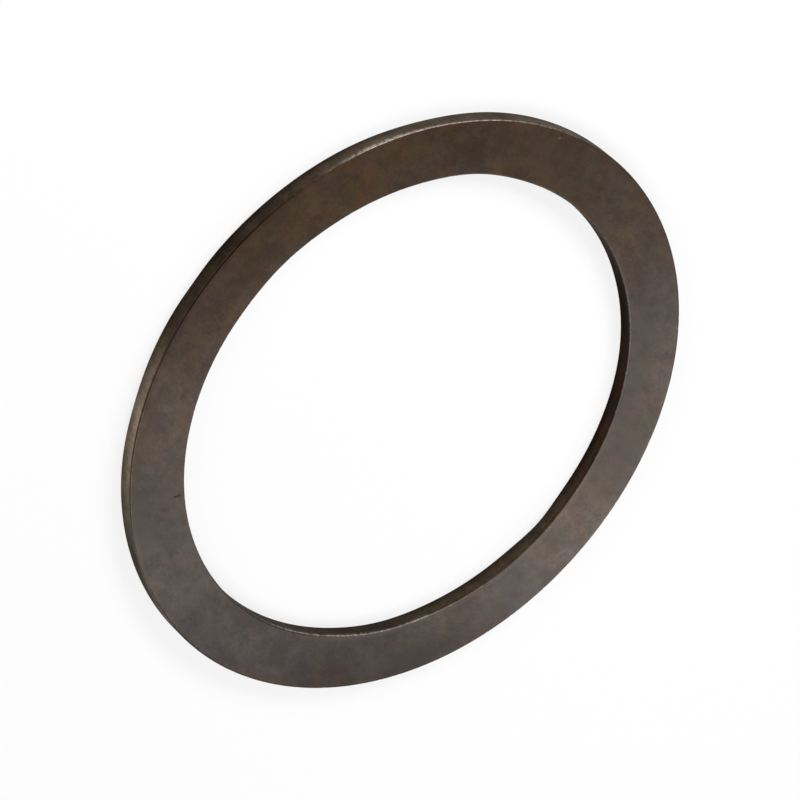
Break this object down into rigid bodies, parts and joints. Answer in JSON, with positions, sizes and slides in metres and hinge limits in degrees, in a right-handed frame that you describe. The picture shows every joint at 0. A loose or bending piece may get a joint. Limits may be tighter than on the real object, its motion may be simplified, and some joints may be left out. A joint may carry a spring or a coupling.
{
  "type": "shim ring",
  "caption": "Thin flat annular shim ring of dark steel with softly rolled edges, slid over a shaft beside a bearing or retaining ring to take up end play.",
  "frame": {"origin": "centre of the ring on its bottom face, the one with the broken burr", "axes": "+Z along the bore axis, through the thickness towards the face with the rolled edges; X and Y lie in the plane of the ring, which is the same all the way round"},
  "size_m": [0.068, 0.068, 0.002],
  "materials": {
    "oiled_dark_steel": "satin"
  },
  "bodies": {
    "root": {"shim_ring": "oiled_dark_steel"}
  },
  "joints": []
}
